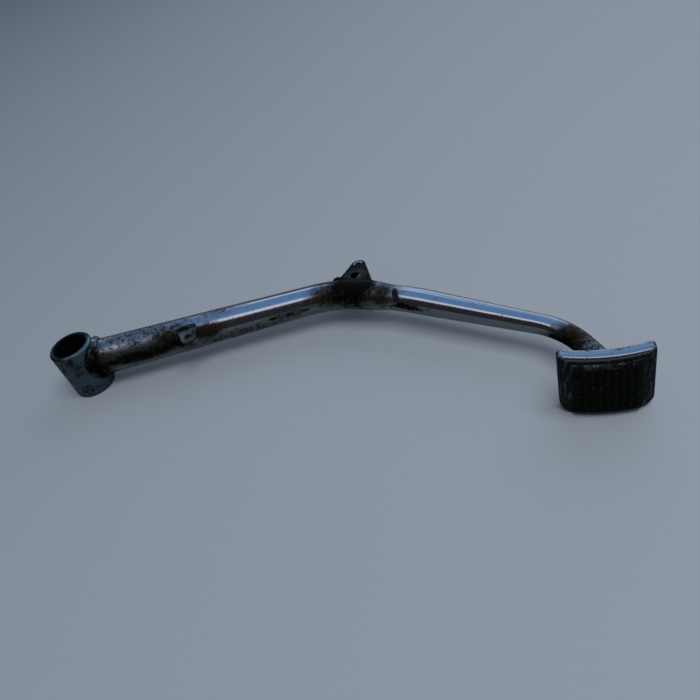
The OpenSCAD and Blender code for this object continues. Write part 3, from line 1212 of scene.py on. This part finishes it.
@dataclass
class RodEar:
    """The pointed plate on the bend, with its bush and its two welds.

    Attributes:
        hole: Centre of the bush.
        tip: Centre of the round tip.
        tip_r: Radius of the round tip.
        root: Front and rear corner of the root, from the hole.
        thick: Thickness of the plate.
        bush_r: Outside radius of the bush.
        bush_bore_r: Radius of the bush's bore.
        bush_length: Length of the bush.
        height: Height of the plate's middle.
        bend_centre: Centre of the lever's middle bend.
        bend_sweep: Radius of that bend.
        arm_r: Radius of the lever there.
    """

    hole: Pair = (191.2, 10.4)
    tip: Pair = (194.6, 22.9)
    tip_r: float = 4.9
    root: tuple[Pair, Pair] = ((10.8, -14.0), (-17.0, -6.0))
    thick: float = 4.0
    bush_r: float = 5.6
    bush_bore_r: float = 2.8
    bush_length: float = 5.6
    height: float = 2.2
    bend_centre: Pair = (159.2, -75.0)
    bend_sweep: float = 75.0
    arm_r: float = 9.4

    def outline(self) -> Array:
        """Works out the outline: a round tip with flanks that touch it.

        The flanks leave the tip where a line from a root corner touches its
        circle.

        Returns:
            The outline's points, the root inside the lever.
        """
        tip = np.array(self.tip)
        corners = np.array(self.hole) + np.array(self.root)
        touches = []
        for corner, side in zip(corners, (1.0, -1.0)):
            gap = corner - tip
            lean = math.acos(self.tip_r / float(np.linalg.norm(gap)))
            touches.append(math.atan2(gap[1], gap[0]) + side * lean)
        first, last = touches
        sweep = np.linspace(first, last + 2.0 * math.pi * (last < first), 60)
        cap = tip + self.tip_r * points(np.cos(sweep), np.sin(sweep))
        return resample(np.concatenate([cap, corners[::-1]]), 480)

    def bush_profile(self) -> Array:
        """Section of the bush's wall as (radius, height)."""
        half = self.bush_length / 2.0
        inner, outer = self.bush_bore_r, self.bush_r
        corners = [(inner, half), (inner, -half), (outer, -half), (outer, half)]
        return rounded_loop(corners, [0.35, 0.35, 1.1, 1.1], 8)

    def seam(self, side: float) -> Array:
        """Path of a weld along the bend's outside.

        It follows the bend on the tube's own surface, at an angle round the
        tube that climbs to a lump behind the plate's rear corner.

        Args:
            side: 1 for the upper weld, -1 for the lower one.

        Returns:
            The path's points.
        """
        t = np.linspace(0.0, 1.0, 110)
        angle = np.radians(12.0 + 20.5 * t)
        lean = np.radians(17.5 + 22.0 * np.exp(-(((t - 0.14) / 0.13) ** 2)) - 12.0 * t**3)
        reach = self.bend_sweep + (self.arm_r + 0.4) * np.cos(lean)
        x = self.bend_centre[0] + reach * np.sin(angle)
        y = self.bend_centre[1] + reach * np.cos(angle)
        return points(x, y, self.height + side * (self.arm_r + 0.4) * np.sin(lean))

    def build(self, finish: Material, weld: Material) -> None:
        """Makes the plate, the bush and both welds.

        Args:
            finish: Material of the plate and the bush.
            weld: Material of the welds.
        """
        seat_r = self.bush_r - 0.3
        plate = Plate(self.outline(), self.hole, seat_r, self.height, self.thick, edge=1.1, collar=0.75)
        plate = plate.skin(300)
        high = np.clip((plate.points[..., 1] - self.hole[1] - 8.0) / 4.0, 0.0, 1.0)
        spot = plate.points - np.array([*self.tip, self.height + self.thick / 2.0])
        rubbed = np.exp(-(((np.linalg.norm(spot, axis=-1) - 2.6) / 0.9) ** 2))
        rubbed = rubbed * (spot[..., 1] > -0.5)
        plate.marks["edge"] = np.maximum(plate.marks["edge"] * high, rubbed)
        dress(plate.piece("rod_ear_plate", finish), "dark_steel", "rod_ear")
        profile = self.bush_profile()
        grid = turned(profile, (*self.hole, self.height), 96)
        out = profile[:, 0] - self.bush_bore_r
        rim = np.clip(1.0 - np.abs(out - 0.3) / 0.6, 0.0, 1.0) * (out > 0.05)
        # painted highlight: the bush's rim is marked bright only on the side toward +X and -Y, a
        # crescent of light
        spot = (grid[..., 0] - self.hole[0]) * 0.8 - (grid[..., 1] - self.hole[1]) * 0.6
        lit = np.clip(spot / self.bush_bore_r - 0.2, 0.0, 1.0)
        marks = {"edge": rim * lit, "ring": np.clip(out, 0.0, 1.0) + 0.0 * spot}
        bush = Skin(grid, True, marks)
        dress(bush.piece("rod_ear_bush", finish), "dark_steel", "ear_bush")
        for side, label in ((1.0, "upper"), (-1.0, "lower")):
            bead = Bead(self.seam(side), 2.1, False, swell=0.16, ripple=0.07, seed=11 + int(side))
            dress(bead.skin(24).piece(f"ear_bead_{label}", weld), "weld_bead", f"ear_weld_{label}")


@dataclass
class FootPad:
    """The pressed pad with its toothed tread, in its own place.

    Attributes:
        width: Width across the foot.
        tall: Height.
        deep: Depth from the face to the rim's rear edge.
        wall: Sheet thickness.
        face_r: Radius of the face's arc.
        edges: Rounding of the face at the top and bottom edges: in from the
            edge, and back.
        sides: The same at the two sides.
        top_corner: Corner radius at the top.
        low_corner: Corner radius at the bottom.
        yaw: Turn about the bore's direction, in degrees.
        roll: Roll about the face, in degrees.
        centre: Middle of the face.
        teeth: Teeth each way.
        pitch: Spacing of the teeth.
        lift: Height of the block under the teeth.
        tooth: Height of a tooth.
        border: Border of the block at the sides, the top and the bottom.
        drop: Drop of the tread below the middle.
    """

    width: float = 44.2
    tall: float = 40.0
    deep: float = 5.6
    wall: float = 2.2
    face_r: float = 75.6
    edges: Pair = (2.6, 2.6)
    sides: Pair = (4.4, 1.85)
    top_corner: float = 3.2
    low_corner: float = 6.4
    yaw: float = -12.6
    roll: float = -0.5
    centre: Triple = (300.7, -129.0, 2.1)
    teeth: int = 9
    pitch: float = 3.3
    lift: float = 1.1
    tooth: float = 1.3
    border: Triple = (1.3, 2.9, 0.6)
    drop: float = 1.85

    def axis(self) -> Pair:
        """Axis of the face's arc, in the part's frame."""
        x, y = np.array(self.centre[:2]) + ray(self.yaw + 90.0, self.face_r)
        return float(x), float(y)

    def placed(self, grid: Array) -> Array:
        """Moves points from the pad's own frame to the part's frame.

        Args:
            grid: Points with x across the foot, y into the pad and z up it.

        Returns:
            The moved points.
        """
        yaw = Matrix.Rotation(math.radians(self.yaw), 3, "Z")
        roll = Matrix.Rotation(math.radians(self.roll), 3, "Y")
        return grid @ np.array(yaw @ roll).T + np.array(self.centre)

    def outline(self, inset: Array, steps: int = 14, runs: int = 26) -> tuple[Array, ...]:
        """Rounded outlines of the pad, one for each inset.

        Args:
            inset: Insets as rows of (from the sides, from the top and bottom).
            steps: Points on each corner.
            runs: Points on each straight side.

        Returns:
            Grids of x and z, shaped (insets, around), and how much each point
            belongs to a side edge rather than the top or bottom.
        """
        in_x, in_z = inset[:, :1], inset[:, 1:]
        half_x, half_z = self.width / 2.0 - in_x, self.tall / 2.0 - in_z
        arcs = []
        for k, (sx, sz) in enumerate(((1, -1), (1, 1), (-1, 1), (-1, -1))):
            size = self.top_corner if sz > 0 else self.low_corner
            r = np.maximum(size - 0.5 * (in_x + in_z), 0.5)
            angle = np.radians(-90.0 + 90.0 * k + np.linspace(0.0, 90.0, steps))[None, :]
            x = sx * (half_x - r) + r * np.cos(angle)
            z = sz * (half_z - r) + r * np.sin(angle)
            arcs.append(np.stack([x, z, np.cos(angle) ** 2 + 0.0 * r]))
        t = np.linspace(0.0, 1.0, runs + 2)[1:-1]
        rows = []
        for arc, following in zip(arcs, arcs[1:] + arcs[:1]):
            rows += [arc, arc[..., -1:] * (1 - t) + following[..., :1] * t]
        return tuple(np.concatenate(rows, axis=-1))

    def arc(self, x: Array, radius: float) -> Array:
        """Depth of an arc about the face's axis: axis minus the root of radius and x squared."""
        return self.face_r - np.sqrt(radius**2 - x**2)

    def shell(self) -> Skin:
        """Works out the pressed shell.

        Rings of the pad's outline run from the middle of the face out to its
        edge, over the rounded edge, back along the rim, round the rim's rear
        edge, and in over the inside of the shell to its middle. On the face
        a ring lies on the arc, and past the edge it goes straight back.

        Returns:
            The surface, marked where its corners are worn bright, and where
            grime lies, which is everywhere but on the upper edge.
        """
        grow = np.linspace(0.04, 1.0, 16)
        middle = np.zeros(len(grow))
        turn = np.radians(np.linspace(0.0, 90.0, 10))[1:]
        rim = np.linspace(0.0, 1.0, 5)
        shift = np.concatenate([middle + 1.0, 1.0 - np.sin(turn), 0.0 * rim])[:, None]
        x, z, side = self.outline(shift * np.array([[self.sides[0], self.edges[0]]]))
        scale = np.concatenate([grow, np.ones(len(x) - len(grow))])[:, None]
        x, z = x * scale, z * scale
        back = self.edges[1] + (self.sides[1] - self.edges[1]) * side
        fall = np.concatenate([middle, 1.0 - np.cos(turn), np.ones(len(rim))])
        y = self.arc(x, self.face_r) + back * fall[:, None]
        rear = self.arc(x, self.face_r - self.deep) - 0.5
        slide = np.concatenate([np.zeros(len(x) - len(rim)), rim])[:, None]
        y = y + (rear - y) * slide
        lip = np.radians(np.linspace(0.0, 180.0, 7))[1:-1]
        down = np.linspace(1.0, 0.0, 6)
        shift = np.concatenate([(1.0 - np.cos(lip)) / 2.0, np.ones(len(down) + len(grow))])
        xi, zi, _ = self.outline(self.wall * shift[:, None] * np.ones((1, 2)))
        shrink = np.concatenate([np.ones(len(xi) - len(grow)), grow[::-1]])[:, None]
        xi, zi = xi * shrink, zi * shrink
        hollow = self.arc(xi, self.face_r - self.wall)
        behind = self.arc(xi, self.face_r - self.deep) - 0.5
        bulge = np.concatenate([0.5 * np.sin(lip), np.zeros(len(xi) - len(lip))])[:, None]
        sink = np.concatenate([np.ones(len(lip)), down, middle])[:, None]
        yi = hollow + (behind - hollow) * sink + bulge
        grid = np.concatenate([points(x, y, z), points(xi, yi, zi)])
        lifted = np.clip((z - 0.5 * self.tall + 3.4) / 1.2, 0.0, 1.0)
        rounded = np.concatenate([middle, np.clip(np.sin(turn) * 2.0, 0, 1), np.ones(len(rim))])
        flange = lifted * rounded[:, None] * (1.0 - side) ** 2
        corner = np.concatenate([middle, np.sin(turn) ** 8, 0.0 * rim])
        blank = np.zeros_like(xi)
        marks = {
            "edge": np.concatenate([0.75 * corner[:, None] * side, blank]),
            "face": np.concatenate([1.0 - flange, blank]),
        }
        return Skin(self.placed(grid), False, marks)

    def tread(self) -> Skin:
        """Works out the raised block with its teeth.

        Over the face's arc the height is the block's lift, which falls away
        at its border, plus the teeth. A tooth is the smaller of two triangle
        waves, one each way, cut off flat at its tip, and dirt fills the
        valleys to a lumpy level. The block's underside is inside the shell.

        Returns:
            The surface, marked with the teeth's tips and the block's border.
        """
        half = self.teeth * self.pitch / 2.0
        side, brow, sill = self.border
        across = np.linspace(-half - side, half + side, 236)
        up = np.linspace(-half - sill, half + brow, 250)
        a, b = np.meshgrid(across, up)

        def wave(t: Array) -> Array:
            """Triangle wave that is 1 in the middle of each pitch."""
            return 1.0 - np.abs(2.0 * np.mod((t + half) / self.pitch, 1.0) - 1.0)

        inside = (np.abs(a) < half) & (np.abs(b) < half)
        draw = np.random.default_rng(4)
        wear = draw.uniform(0.72, 1.0, (self.teeth, self.teeth))
        row = np.clip(((b + half) / self.pitch).astype(int), 0, self.teeth - 1)
        column = np.clip(((a + half) / self.pitch).astype(int), 0, self.teeth - 1)
        tall = np.minimum(np.minimum(wave(a) * 1.35, wave(b) * 1.35), wear[row, column])
        tall = np.where(inside, tall, 0.0)
        u = (a + half + side) / (2.0 * half + 2.0 * side)
        v = (b + half + sill) / (2.0 * half + brow + sill)
        fill = 0.30 + 0.20 * waves(u, v, seed=21, count=12, fastest=9)
        bed = 0.12 + 0.1 * waves(u, v, seed=22, count=9, fastest=12)
        level = np.where(inside, np.maximum(tall, fill), bed)
        gap_x = half + side - np.abs(a)
        gap_z = np.minimum(b + half + sill, (half + brow - b) / 1.4)
        fall = np.clip(np.minimum(gap_x / 0.8, gap_z / 0.8), 0.0, 1.0)
        fall = np.sqrt(1.0 - (1.0 - fall) ** 2)
        height = -0.5 + (self.lift + 0.5 + self.tooth * level) * fall
        under = np.linspace(half + side, -half - side, 30)
        low_a, low_b = np.meshgrid(under, up)
        turn = np.concatenate([a, low_a], axis=1) / self.face_r
        reach = self.face_r + np.concatenate([height, np.full_like(low_a, -1.0)], axis=1)
        x = reach * np.sin(turn)
        y = self.face_r - reach * np.cos(turn)
        z = np.concatenate([b, low_b], axis=1) - self.drop
        tip = np.clip((level - 0.55) / 0.4, 0.0, 1.0)
        rim = np.clip(1.0 - np.minimum(gap_x / 1.4, gap_z / 2.0), 0.0, 1.0) * (b > 0.0)
        rim = np.clip(rim + 0.35 * (gap_x < 1.2), 0.0, 1.0) * 0.5
        rim = np.where(b > half, 1.0, rim)
        blank = np.zeros_like(low_a)
        marks = {
            "tip": np.concatenate([tip, blank], axis=1),
            "border": np.concatenate([rim, blank], axis=1),
        }
        return Skin(self.placed(points(x, y, z)), False, marks)

    def build(
        self,
        finish: Material,
        grime: Material,
        weld: Material,
        lever: Lever,
    ) -> None:
        """Makes the shell, the tread and the weld on its back.

        Args:
            finish: Material of the shell.
            grime: Material of the tread.
            weld: Material of the weld.
            lever: The lever that ends in the pad.
        """
        dress(self.shell().piece("pad_shell", finish), "worn_chrome", "foot_pad")
        dress(self.tread().piece("pad_tread", grime), "worn_chrome")
        across = np.array([*ray(self.yaw), 0.0])
        back = np.array([*ray(self.yaw + 90.0), 0.0])
        lean = math.radians(float(lever.headings()[3]) + 90.0 - self.yaw)
        ring, proud = lever.tip_r + 0.5, 0.9
        angle = full_turn(120)[:, None]
        side = ring * np.cos(angle) / math.cos(lean) - proud * math.tan(lean)
        path = np.array([*lever.pad_meet(), lever.height]) + side * across
        path = path + ring * np.sin(angle) * np.array([0.0, 0.0, 1.0])
        path = path + (proud + side**2 / (2.0 * self.face_r)) * back
        bead = Bead(path, 2.3, True, tuple(back), swell=0.14, ripple=0.12, pitch=1.6, seed=6)
        dress(bead.skin(26).piece("pad_bead", weld), "weld_bead", "pad_weld")


# Setting


@dataclass
class Studio:
    """Table, light and camera.

    Attributes:
        floor_z: Height of the table, level with the sleeve's lower end.
        eye: Place of the camera.
        look: Direction that it looks in.
        upward: Direction that is up in its picture.
        focal: Focal length as a share of the picture's width.
        table_half: Half the table's width in metres.
        middle: Point under the pedal that the lamps face, in metres.
    """

    floor_z: float = -18.0
    eye: Triple = (216.543, -336.752, 248.834)
    look: Triple = (-0.095925, 0.747124, -0.657726)
    upward: Triple = (0.251040, 0.657572, 0.710336)
    focal: float = 650.0 / 700.0
    table_half: float = 6.0
    middle: Triple = (0.155, -0.05, 0.0)

    def table(self, finish: Material) -> None:
        """Makes the table as one wide quad.

        Args:
            finish: Its material.
        """
        half = self.table_half
        mesh = bpy.data.meshes.new("table")
        corners = [(-half, -half), (half, -half), (half, half), (-half, half)]
        mesh.from_pydata([(*c, self.floor_z * MM) for c in corners], [], [(0, 1, 2, 3)])
        mesh.materials.append(finish)
        stand("table", mesh)

    def camera(self) -> None:
        """Sets the camera where the photograph was taken from."""
        data = bpy.data.cameras.new("camera")
        data.sensor_fit = "HORIZONTAL"
        data.sensor_width = 36.0
        data.lens = data.sensor_width * self.focal
        data.clip_start = 0.01
        data.dof.use_dof = False
        made = stand("camera", data)
        ahead = Vector(self.look).normalized()
        right = ahead.cross(Vector(self.upward)).normalized()
        up = right.cross(ahead)
        turn = Matrix((right, up, -ahead)).transposed().to_4x4()
        made.matrix_world = Matrix.Translation(Vector(self.eye) * MM) @ turn
        bpy.context.scene.camera = made

    def lamp(
        self,
        name: str,
        towards: Sequence[float],
        away: float,
        size: Pair,
        level: float,
        colour: Sequence[float],
    ) -> None:
        """Adds a soft rectangular lamp that faces the pedal.

        Its power is worked out from the share of full light that it gives to
        the table: level times pi squared times distance squared over the
        cosine of its tilt.

        Args:
            name: Name of the lamp.
            towards: Direction of the lamp from the pedal.
            away: Distance in metres.
            size: Length and breadth in metres, the length level.
            level: Share of full light on the table.
            colour: Colour of the light.
        """
        data = bpy.data.lights.new(name, "AREA")
        data.shape = "RECTANGLE"
        data.size, data.size_y = size
        data.color = colour
        way = Vector(towards).normalized()
        data.energy = level * math.pi**2 * away**2 / way.z
        made = stand(name, data)
        made.visible_glossy = False
        made.location = Vector(self.middle) + way * away
        made.rotation_euler = way.to_track_quat("Z", "Y").to_euler()

    def light(self) -> None:
        """Sets two soft lamps and the sky.

        Matte surfaces see a smooth sky, paler on the far side. Glossy ones
        see what stands round the table, by the slope of the ray: dark low on
        the far side but pale to the right, then a bright edge, blue up past
        the zenith, one pale band above the near side, and dusk below it.
        """
        self.lamp("ceiling", (0.26, -0.30, 0.92), 1.5, (0.95, 0.65), 0.70, (1.0, 0.985, 0.955))
        self.lamp("window", (0.52, 0.62, 0.59), 1.7, (1.8, 1.2), 0.16, (0.97, 0.99, 1.0))
        world = bpy.data.worlds.new("sky")
        bpy.context.scene.world = world
        world.use_nodes = True
        graph = Graph(world.node_tree)
        coords = graph.node("ShaderNodeTexCoord").outputs["Generated"]
        x, y, z = graph.parts(coords)
        away = y * 0.97 + x * 0.60
        height = z.larger(0.02)
        slope = away / height
        right = (x / height).step(0.06, 0.22)
        rim = slope.step(0.78, 1.02) * (1.0 - slope.step(1.60, 1.80)) * (1.0 - right * 0.9)
        blue = graph.mix(rim, (0.175, 0.36, 0.68), (0.80, 0.96, 1.35))
        low = graph.mix(right, (0.085, 0.115, 0.135), (0.62, 0.74, 1.00))
        wall = graph.mix(slope.step(1.65, 1.90), blue, low)
        glare = graph.mix(slope.step(-0.46, -0.34), (1.12, 1.10, 1.18), wall)
        near = graph.mix(slope.step(-0.92, -0.70), (0.034, 0.032, 0.038), glare)
        sky = graph.mix(z.step(0.0, 0.03), (0.05, 0.06, 0.065), near)
        path = graph.node("ShaderNodeLightPath").outputs
        matte = graph.mix(z.clamp() ** 1.4, (0.035, 0.04, 0.05), (0.36, 0.37, 0.40))
        seen = graph.mix(Value(graph, path["Is Glossy Ray"]), matte, sky)
        shown = graph.mix(Value(graph, path["Is Camera Ray"]), seen, (0.26, 0.30, 0.35))
        ground = graph.node("ShaderNodeBackground", inputs={"Color": shown, "Strength": 1.0})
        graph.node("ShaderNodeOutputWorld", inputs={"Surface": ground.outputs[0]})

    def build(self) -> None:
        """Sets the whole stage."""
        self.camera()
        self.table(TableTop("table_top").build())
        self.light()
        bpy.context.scene.view_settings.view_transform = "Standard"


#: Stained places of the lever, from the sleeve to the pad.
LEVER_PATCHES = (
    Patch(Stain.SOOT_AND_SHADE, (14.0, -3.0, 2.0), (16.0, 19.0, 19.0), 1.0),
    # soot along the front of the first straight, partly painted shade on the lever's front side
    Patch(Stain.SOOT_AND_SHADE, (46.0, -11.5, 3.4), (46.0, 9.0, 6.5), 0.75, 0.9),
    Patch(Stain.PITS, (50.0, 0.0, 9.0), (54.0, 18.0, 16.0), 1.0),
    Patch(Stain.PITS, (98.0, 2.0, 9.0), (30.0, 8.0, 9.0), 0.95),
    Patch(Stain.RUST, (66.0, -8.0, 8.0), (14.0, 8.0, 8.0), 0.8, 0.9),
    Patch(Stain.RUST, (92.0, -9.0, 7.0), (13.0, 6.5, 6.5), 0.8, 0.9),
    Patch(Stain.PITS, (115.0, -10.5, -0.5), (62.0, 5.0, 5.0), 0.9),
    Patch(Stain.SOOT_AND_SHADE, (85.0, 9.5, 8.5), (95.0, 5.5, 6.0), 0.36, 0.6),
    # soot on the front, partly painted shade on the lever's front side
    Patch(Stain.SOOT_AND_SHADE, (72.0, -11.5, 5.0), (14.0, 5.0, 5.0), 0.9),
    Patch(Stain.PITS, (145.0, -10.0, 2.8), (22.0, 4.0, 3.4), 1.0),
    Patch(Stain.SOOT_AND_SHADE, (134.5, -9.7, 2.8), (4.4, 3.0, 1.4), 0.7, 3.0),
    Patch(Stain.SOOT_AND_SHADE, (146.0, -9.5, 2.8), (3.6, 3.0, 1.3), 0.7, 3.0),
    Patch(Stain.SOOT_AND_SHADE, (156.0, -9.4, 2.8), (3.0, 3.0, 1.2), 0.7, 3.0),
    Patch(Stain.SOOT_AND_SHADE, (191.0, -6.5, 7.5), (27.0, 20.0, 14.0), 1.0, 0.9),
    Patch(Stain.RUST, (177.0, -6.0, 7.5), (22.0, 12.0, 8.0), 0.8, 0.9),
    Patch(Stain.RUST, (206.0, -18.0, 6.0), (12.0, 10.0, 8.0), 0.8),
    Patch(Stain.RUST, (213.6, -25.0, 8.0), (2.8, 6.2, 5.2), 1.0, 0.8),
    Patch(Stain.SOOT_AND_SHADE, (217.0, -33.0, 3.4), (17.0, 14.0, 3.0), 0.75, 2.6),
    Patch(Stain.PITS, (210.0, -22.0, 9.0), (13.0, 13.0, 9.0), 0.55),
    Patch(Stain.PITS, (299.0, -103.0, 7.0), (17.0, 24.0, 12.0), 1.0),
    Patch(Stain.RUST, (294.0, -95.0, 5.5), (13.0, 13.0, 7.0), 0.8, 0.9),
    Patch(Stain.SOOT_AND_SHADE, (294.0, -95.0, 0.5), (18.0, 19.0, 8.0), 0.95, 0.9),
)

#: Stained places of the spring tab: its root and the hole's rim.
TAB_PATCHES = (
    Patch(Stain.SOOT_AND_SHADE, (76.0, -7.0, 11.0), (11.0, 5.0, 4.0), 0.9),
    Patch(Stain.SOOT_AND_SHADE, (81.0, -15.0, 11.0), (3.4, 3.0, 3.0), 0.7),
)


def main() -> None:
    """Builds the pedal and its setting."""
    logging.basicConfig(level=logging.INFO, format="%(message)s")
    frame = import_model()
    LOG.info("solids: %s", sorted(frame["nodes"]))

    pad = FootPad()
    lever = Lever(pad_axis=pad.axis())
    weld = WeldSkin("weld_brown").build()
    baked = {"rust": (0.011, 0.0075, 0.0045), "left": 0.12, "sheen": (0.34, 0.25, 0.17)}
    baked_weld = WeldSkin("weld_baked", **baked).build()
    dark = BlackenedSteel("blackened_steel").build()
    sleeve_finish = Plating(
        "sleeve_plating",
        bright=(0.155, 0.235, 0.255),
        soot=(0.010, 0.015, 0.015),
        gloss=0.30,
        haze=0.8,
        pitting=1.9,
        dulled=0.6,
        wear_and_glint_mark="edge",
        grime_mark="face",
    )
    PivotSleeve().build(sleeve_finish.build())
    # colour of soot, which on the lever's front also paints shade
    lever_soot_and_shade = (0.010, 0.0085, 0.0045)
    lever_finish = Plating("lever_plating", soot=lever_soot_and_shade, patches=LEVER_PATCHES).build()
    lever.build(lever_finish, lever_finish)
    tab_finish = Plating(
        "tab_plating",
        bright=(0.14, 0.15, 0.145),
        gloss=0.36,
        haze=0.9,
        pitting=1.8,
        patches=TAB_PATCHES,
        wear_and_glint_mark="edge",
    )
    SpringTab().build(tab_finish.build(), weld)
    RodEar().build(dark, baked_weld)
    pad_finish = Plating(
        "pad_plating",
        soot=(0.030, 0.046, 0.048),
        gloss=0.15,
        pitting=1.3,
        haze=0.3,
        wear_and_glint_mark="edge",
        grime_mark="face",
    )
    pad.build(pad_finish.build(), PackedGrime("packed_grime").build(), weld, lever)
    Studio().build()


if __name__ == "__main__":
    main()
